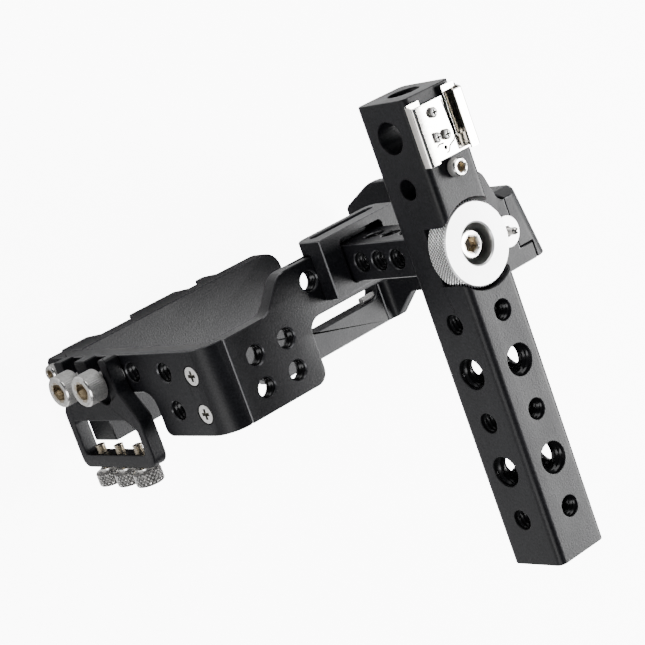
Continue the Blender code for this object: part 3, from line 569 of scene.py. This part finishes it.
def thumbscrews():
    for number in (1, 2, 3):
        node = f"cable_thumbscrew_{number}"
        centre, end, radius, length = placed_on(node, "Y", -1)
        where = standing("Y", -1, centre, end + length)
        under = length - 4.35 * MM
        neck = under - 0.2 * MM
        shoulder = under - 0.8 * MM
        edge = 0.35 * MM
        depth = 0.45 * MM
        around = 20
        knurl = diamonds(radius, depth, around, under)
        steps = 24
        rows = [(0.9 * MM, 0), *thread_rows(1.5 * MM, 0.25 * MM, 0.5 * MM, 0.2 * MM, shoulder)]
        rows += [(2.6 * MM, shoulder), (2.6 * MM, neck), (radius - edge, under)]
        span = length - under - 2 * edge
        rows += [(knurl, under + edge + span * step / steps) for step in range(steps + 1)]
        rows += [(radius - edge - 0.1 * MM, length), (radius * 0.5, length - 0.02 * MM)]
        mesh = bmesh.new()
        add_lathe(mesh, where, rows, 8 * around)
        # Painted shade: the valleys of the knurl are made dark grey.
        shade_where(mesh, where, 1, lambda r, h: radius - depth < r < radius - 0.5 * depth and h > under)
        shade_where(mesh, where, 2, lambda r, h: h < shoulder)
        looks = ("knurl", "painted_shade_grey", "socket")
        shown(f"{node}_finished", mesh, node, "steel", *looks, replaces=[node], smooth_angle=30)


def screws():
    dark = ("black_steel", "black_steel")
    cap_screw("wheel_bolt", "wheel", "steel", "Z", 1, 4.9 * MM, 4.0 * MM, 2.5 * MM, 0.8 * MM)
    cap_screw("shoe_stop_screw", "handle", "steel", "Z", 1, 3.0 * MM, 2.5 * MM, 1.5 * MM, 0.5 * MM)
    for number in (1, 2):
        node = f"clamp_screw_{number}"
        cap_screw(node, "cage", "steel", "X", -1, 6.2 * MM, 5.0 * MM, 3.0 * MM, 1.0 * MM, teeth=48)
        node = f"left_base_screw_{number}"
        cap_screw(node, "cage", "steel", "X", -1, 3.0 * MM, 2.5 * MM, 1.5 * MM, 0.5 * MM)
        node = f"riser_screw_{number}"
        cap_screw(node, "riser", "black_steel", "Z", -1, 2.4 * MM, 2.5 * MM, 1.5 * MM, 0.5 * MM, *dark)
        cross_screw(f"left_top_screw_{number}", "cage", "steel", "X", -1)
        cross_screw(f"right_top_screw_{number}", "cage", "steel", "Z", -1)
        cross_screw(f"right_base_screw_{number}", "cage", "steel", "X", 1)
    for number in (1, 2, 3):
        cross_screw(f"shoe_screw_{number}", "handle", "steel", "Z", 1, 0.8 * MM)


def plain_metal():
    for node, body, slot, look, width in (
        ("wheel_washer", "wheel", "steel", "steel", 0.1 * MM),
        ("camera_screw", "camera_screw", "steel", "steel", 0.3 * MM),
        ("lock_flange", "cage", "nickel", "wheel", 0.2 * MM),
        ("lock_pin", "lock_pin", "nickel", "nickel", 0.05 * MM),
        ("shoe_leaf_spring", "handle", "nickel", "nickel", 0.05 * MM),
    ):
        chamfered(node, body, slot, look, width, 2, look, clamp=True)


def rounded(corners):
    """A closed outline of points in the plane: a corner with a third value, a radius, becomes an arc."""
    points = []
    for index, corner in enumerate(corners):
        here = Vector(corner[:2])
        if len(corner) == 2:
            points.append(here)
            continue
        to_last = (Vector(corners[index - 1][:2]) - here).normalized()
        to_next = (Vector(corners[(index + 1) % len(corners)][:2]) - here).normalized()
        half = to_last.angle(to_next) / 2
        reach = corner[2] / math.tan(half)
        centre = here + (to_last + to_next).normalized() * (corner[2] / math.sin(half))
        start = here + to_last * reach - centre
        turn = start.angle_signed(here + to_next * reach - centre)
        steps = max(2, round(abs(turn) / math.radians(15)))
        for step in range(steps + 1):
            points.append(centre + Matrix.Rotation(-turn * step / steps, 2) @ start)
    return points


def add_prism(mesh, corners, axis, low, high):
    """A straight bar: an outline across X, Y or Z, drawn out from low to high along it."""
    others = [AXES[letter] for letter in "XYZ" if letter != axis]
    ring = []
    for first, second in rounded(corners):
        ring.append(mesh.verts.new(others[0] * first + others[1] * second + AXES[axis] * low))
    drawn = bmesh.ops.extrude_face_region(mesh, geom=[mesh.faces.new(ring)])
    ends = [item for item in drawn["geom"] if isinstance(item, bmesh.types.BMVert)]
    bmesh.ops.translate(mesh, verts=ends, vec=AXES[axis] * (high - low))


def box_outline(low, high):
    return [(low[0], low[1]), (high[0], low[1]), (high[0], high[1]), (low[0], high[1])]


def ribbon(points, width):
    """The outline of a strip of a given width along an open line of points."""
    sides = ([], [])
    for index, point in enumerate(points):
        last = Vector(points[max(index - 1, 0)])
        after = Vector(points[min(index + 1, len(points) - 1)])
        along = (after - last).normalized()
        across = Vector((-along.y, along.x)) * width / 2
        sides[0].append(tuple(Vector(point) + across))
        sides[1].append(tuple(Vector(point) - across))
    return sides[0] + sides[1][::-1]


def cut(mesh, tools):
    """What is left of a bmesh after each tool, a bmesh of its own, is cut from it."""
    data = bpy.data.meshes.new("cut_from")
    bmesh.ops.recalc_face_normals(mesh, faces=mesh.faces)
    mesh.to_mesh(data)
    mesh.free()
    piece = bpy.data.objects.new("cut_from", data)
    bpy.context.scene.collection.objects.link(piece)
    helpers = [piece]
    for tool in tools:
        bmesh.ops.recalc_face_normals(tool, faces=tool.faces)
        shape = bpy.data.meshes.new("tool")
        tool.to_mesh(shape)
        tool.free()
        helper = bpy.data.objects.new("tool", shape)
        bpy.context.scene.collection.objects.link(helper)
        helpers.append(helper)
        modifier = piece.modifiers.new("cut", "BOOLEAN")
        modifier.object = helper
        modifier.operation = "DIFFERENCE"
        modifier.solver = "EXACT"
    left = bmesh.new()
    left.from_object(piece, bpy.context.evaluated_depsgraph_get())
    for helper in helpers:
        bpy.data.objects.remove(helper, do_unlink=True)
    return left


def bevel_sharp(mesh, width, segments):
    """Rounds the edges of a bmesh that are sharper than 40 degrees, once its flat faces are merged."""
    bmesh.ops.remove_doubles(mesh, verts=mesh.verts, dist=SAME_POINT)
    bmesh.ops.dissolve_limit(mesh, angle_limit=math.radians(1.5), verts=mesh.verts, edges=mesh.edges)
    sharp = [edge for edge in mesh.edges if edge_angle(edge) > math.radians(40)]
    bmesh.ops.bevel(
        mesh, geom=sharp, offset=width, segments=segments, profile=0.5, affect="EDGES", clamp_overlap=True
    )


def cold_shoe():
    """One folded sheet: a deck with two lips, a cut-out tongue, and a locating tab at the front."""
    low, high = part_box("cold_shoe")
    centre = (low.x + high.x) / 2
    half = (high.x - low.x) / 2
    sheet = 0.6 * MM
    mouth = 6.25 * MM
    fold = 1.1 * MM
    deck = low.z + sheet
    ceiling = high.z - sheet
    wall = half - sheet
    right = [(half, low.z, fold), (half, high.z, fold), (mouth, high.z), (mouth, ceiling)]
    right += [(wall, ceiling, fold - sheet), (wall, deck, fold - sheet)]
    outline = [(centre + u, *rest) for u, *rest in right]
    outline += [(centre - u, *rest) for u, *rest in reversed(right)]
    mesh = bmesh.new()
    tab = 1.6 * MM
    past = MM  # how far a cutter goes beyond the sheet
    add_prism(mesh, outline, "Y", low.y, high.y + tab)
    tools = []
    front = bmesh.new()
    beyond = high.y + 2 * tab
    slant = [(high.y, high.z + past), (beyond, high.z + past), (beyond, deck + 0.3 * MM)]
    slant += [(high.y + 1.2 * MM, deck + 0.3 * MM)]
    add_prism(front, slant, "X", low.x - past, high.x + past)
    tools.append(front)
    middle = bmesh.new()
    notch = box_outline((centre - 4.4 * MM, high.y), (centre + 5.6 * MM, beyond))
    add_prism(middle, notch, "Z", low.z - past, high.z + past)
    tools.append(middle)
    # The slits, as lines of (x, y) points in millimetres.
    slit_width = 0.42 * MM
    tongue = [(2.55, 59.3), (3.2, 49.4), (3.0, 48.4), (2.3, 47.7), (1.1, 47.25), (0.3, 46.85)]
    tongue += [(-0.2, 46.0), (-0.65, 45.5), (-1.4, 45.4)]
    hook = [(-4.1, 47.8), (-3.7, 48.2), (-3.1, 48.4), (-1.5, 48.2)]
    for line in (tongue, hook):
        slit = bmesh.new()
        strip = ribbon([(x * MM, y * MM) for x, y in line], slit_width)
        add_prism(slit, strip, "Z", low.z - past, deck + past)
        tools.append(slit)
    # The round holes: the tongue's own, and one under each screw.
    holes = [((-1.3 * MM, 46.9 * MM), 0.62 * MM)]
    holes += [(placed_on(f"shoe_screw_{number}", "Z", 1)[0], 1.35 * MM) for number in (1, 2, 3)]
    for place, radius in holes:
        hole = bmesh.new()
        rows = [(radius, low.z - past), (radius, deck + past)]
        add_lathe(hole, standing("Z", 1, place, 0), rows, 24)
        tools.append(hole)
    mesh = cut(mesh, tools)
    bevel_sharp(mesh, 0.12 * MM, 2)
    looks = {"replaces": ["cold_shoe"], "smooth_angle": 30, "weighted": True}
    shown("cold_shoe_finished", mesh, "handle", "nickel", "nickel", **looks)


# The floor, the light and the camera


def floor():
    mesh = bmesh.new()
    bmesh.ops.create_grid(mesh, x_segments=1, y_segments=1, size=6)
    data = bpy.data.meshes.new("floor")
    mesh.to_mesh(data)
    mesh.free()
    made, tree, shader = nodes_of("pale_floor")
    pale = ramp(tree, noise(tree, 4.0), 0.3, 0.7, grey(0.86), grey(0.90))
    tree.links.new(pale, shader.inputs["Base Color"])
    shader.inputs["Roughness"].default_value = 0.95
    shader.inputs["Specular IOR Level"].default_value = 0.1
    shader.inputs["Emission Color"].default_value = (1, 1, 1, 1)
    # The floor glows to the camera only, so it is near white and puts no light on the object.
    seen = tree.nodes.new("ShaderNodeLightPath").outputs["Is Camera Ray"]
    lift = tree.nodes.new("ShaderNodeMath")
    lift.operation = "MULTIPLY"
    lift.inputs[1].default_value = 9.0
    tree.links.new(seen, lift.inputs[0])
    tree.links.new(lift.outputs[0], shader.inputs["Emission Strength"])
    data.materials.append(made)
    piece = bpy.data.objects.new("floor", data)
    piece.location.z = cad_box[0].z
    bpy.context.scene.collection.objects.link(piece)


def softbox(name, direction, size, power):
    """An area lamp of a (width, height), off in one direction and turned to the object's middle."""
    lamp = bpy.data.lights.new(name, "AREA")
    lamp.shape = "RECTANGLE"
    lamp.size, lamp.size_y = size
    lamp.energy = power
    made = bpy.data.objects.new(name, lamp)
    out = Vector(direction).normalized()
    made.location = out * 1.1 + Vector((0, 0, 0.07))
    made.rotation_euler = out.to_track_quat("Z", "Y").to_euler()
    bpy.context.scene.collection.objects.link(made)


def light():
    softbox("back_softbox", (0.75, -0.25, 0.60), (0.6, 0.6), 26)
    softbox("front_softbox", (0.15, 0.95, 0.55), (0.8, 0.5), 5)
    softbox("left_softbox", (-0.95, -0.35, 0.45), (0.5, 0.7), 7)
    world = bpy.data.worlds.new("studio")
    world.use_nodes = True
    sky = world.node_tree.nodes["Background"]
    sky.inputs["Color"].default_value = (0.9, 0.93, 1.0, 1)
    sky.inputs["Strength"].default_value = 0.10
    bpy.context.scene.world = world


def camera():
    lens = bpy.data.cameras.new("camera")
    lens.sensor_width = 36.0
    lens.lens = 129.59
    made = bpy.data.objects.new("camera", lens)
    right = Vector((0.711, -0.331, 0.621)).normalized()
    forward = Vector((0.582, -0.219, -0.783)).normalized()
    up = right.cross(forward).normalized()
    right = forward.cross(up)
    turn = Matrix((right, up, -forward)).transposed()
    made.matrix_world = Matrix.Translation((-0.40916, 0.15195, 0.60558)) @ turn.to_4x4()
    bpy.context.scene.collection.objects.link(made)
    bpy.context.scene.camera = made


def build():
    black_plates()
    handle_threads()
    top_plate_threads()
    left_plate_threads()
    arm_threads()
    thumb_wheel()
    thumbscrews()
    screws()
    plain_metal()
    cold_shoe()
    floor()
    light()
    camera()


build()
